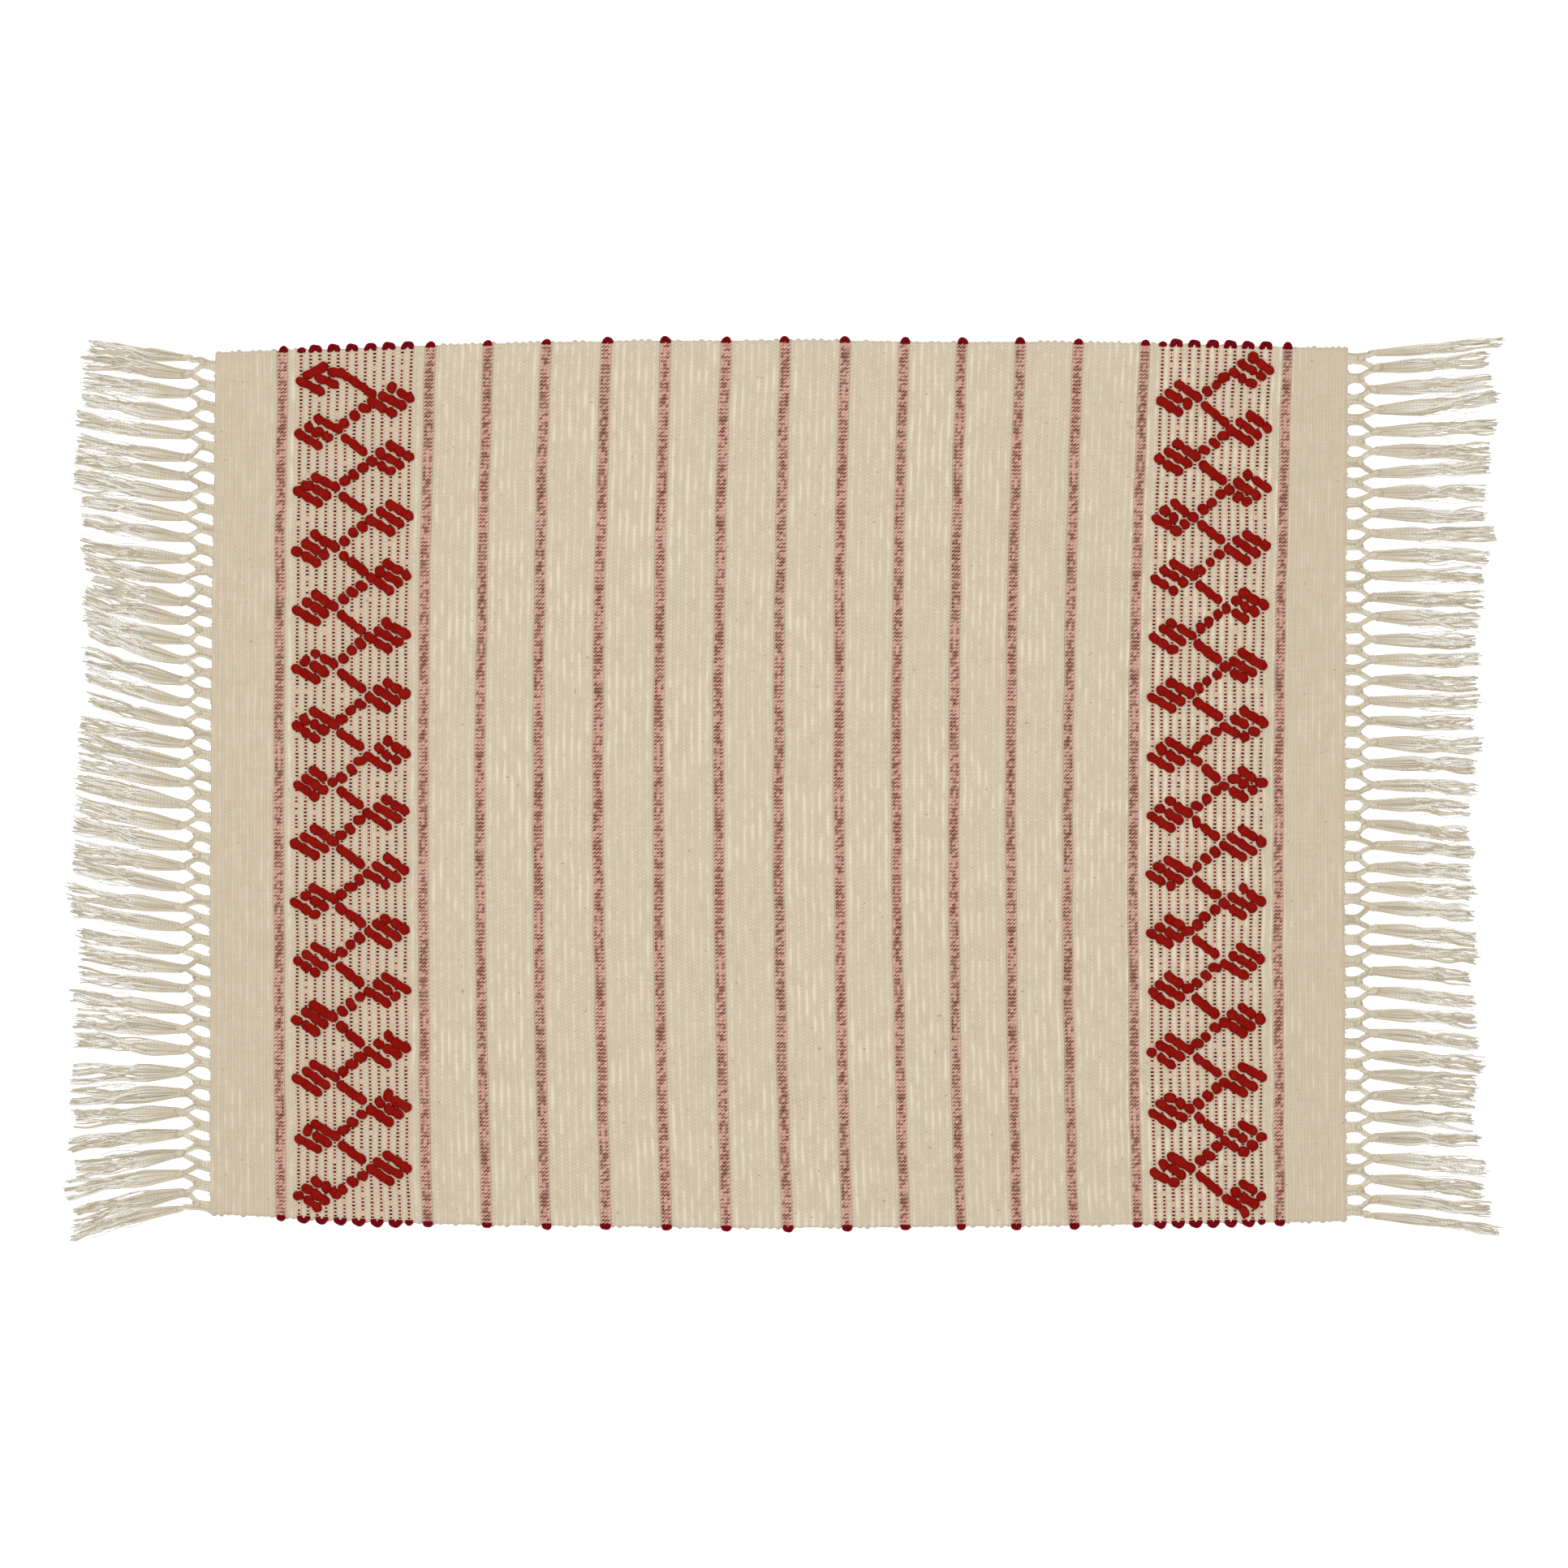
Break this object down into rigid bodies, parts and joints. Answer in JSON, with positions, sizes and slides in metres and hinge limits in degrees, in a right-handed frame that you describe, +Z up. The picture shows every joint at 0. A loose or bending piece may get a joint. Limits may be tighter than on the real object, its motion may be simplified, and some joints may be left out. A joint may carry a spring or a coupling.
{
  "type": "runner rug",
  "caption": "Flat handwoven cotton floor rug with cream ground, red weft stripes, raised red vine borders near both ends and knotted fringes.",
  "frame": {"origin": "on the floor, under the middle of the rug", "axes": "+X along the warp, from the left fringe to the right one; +Y along the weft, towards the upper selvedge; +Z up, out of the face with the vines"},
  "size_m": [0.964, 0.6058, 0.008],
  "materials": {
    "warp_cotton": "matt spun cotton",
    "cream_weft": "matt ribbed plain weave, undyed cotton",
    "red_and_cream_weft": "matt, red weft flecked by cream warp",
    "thin_red_weft": "matt, fine red weft seen as dotted lines",
    "thick_red_brocade": "matt, soft thick brocade yarn in raised loops",
    "fringe_cotton": "slightly lustrous cotton threads"
  },
  "bodies": {
    "cloth": {"warp_sheet": "warp_cotton", "left_end_band": "cream_weft", "stripe_1": "red_and_cream_weft", "stripe_2": "red_and_cream_weft", "stripe_3": "red_and_cream_weft", "stripe_4": "red_and_cream_weft", "stripe_5": "red_and_cream_weft", "stripe_6": "red_and_cream_weft", "stripe_7": "red_and_cream_weft", "stripe_8": "red_and_cream_weft", "stripe_9": "red_and_cream_weft", "stripe_10": "red_and_cream_weft", "stripe_11": "red_and_cream_weft", "stripe_12": "red_and_cream_weft", "stripe_13": "red_and_cream_weft", "stripe_14": "red_and_cream_weft", "stripe_15": "red_and_cream_weft", "left_brocade_ground": "cream_weft", "left_line_yarn": "thin_red_weft", "left_brocade_vine": "thick_red_brocade", "field_band_1": "cream_weft", "field_band_2": "cream_weft", "field_band_3": "cream_weft", "field_band_4": "cream_weft", "field_band_5": "cream_weft", "field_band_6": "cream_weft", "field_band_7": "cream_weft", "field_band_8": "cream_weft", "field_band_9": "cream_weft", "field_band_10": "cream_weft", "field_band_11": "cream_weft", "field_band_12": "cream_weft", "right_brocade_ground": "cream_weft", "right_line_yarn": "thin_red_weft", "right_brocade_vine": "thick_red_brocade", "right_end_band": "cream_weft"},
    "left_fringe": {"left_fringe_1": "fringe_cotton", "left_fringe_2": "fringe_cotton", "left_fringe_3": "fringe_cotton", "left_fringe_4": "fringe_cotton", "left_fringe_5": "fringe_cotton", "left_fringe_6": "fringe_cotton", "left_fringe_7": "fringe_cotton"},
    "right_fringe": {"right_fringe_1": "fringe_cotton", "right_fringe_2": "fringe_cotton", "right_fringe_3": "fringe_cotton", "right_fringe_4": "fringe_cotton", "right_fringe_5": "fringe_cotton", "right_fringe_6": "fringe_cotton", "right_fringe_7": "fringe_cotton"}
  },
  "joints": [
    {"name": "left_fringe_fold", "type": "hinge", "parent": "cloth", "child": "left_fringe", "pos_m": [-0.385, 0, 0.0044], "axis": [0, 1, 0], "range_deg": [0, 165]},
    {"name": "right_fringe_fold", "type": "hinge", "parent": "cloth", "child": "right_fringe", "pos_m": [0.385, 0, 0.0044], "axis": [0, -1, 0], "range_deg": [0, 165]}
  ]
}
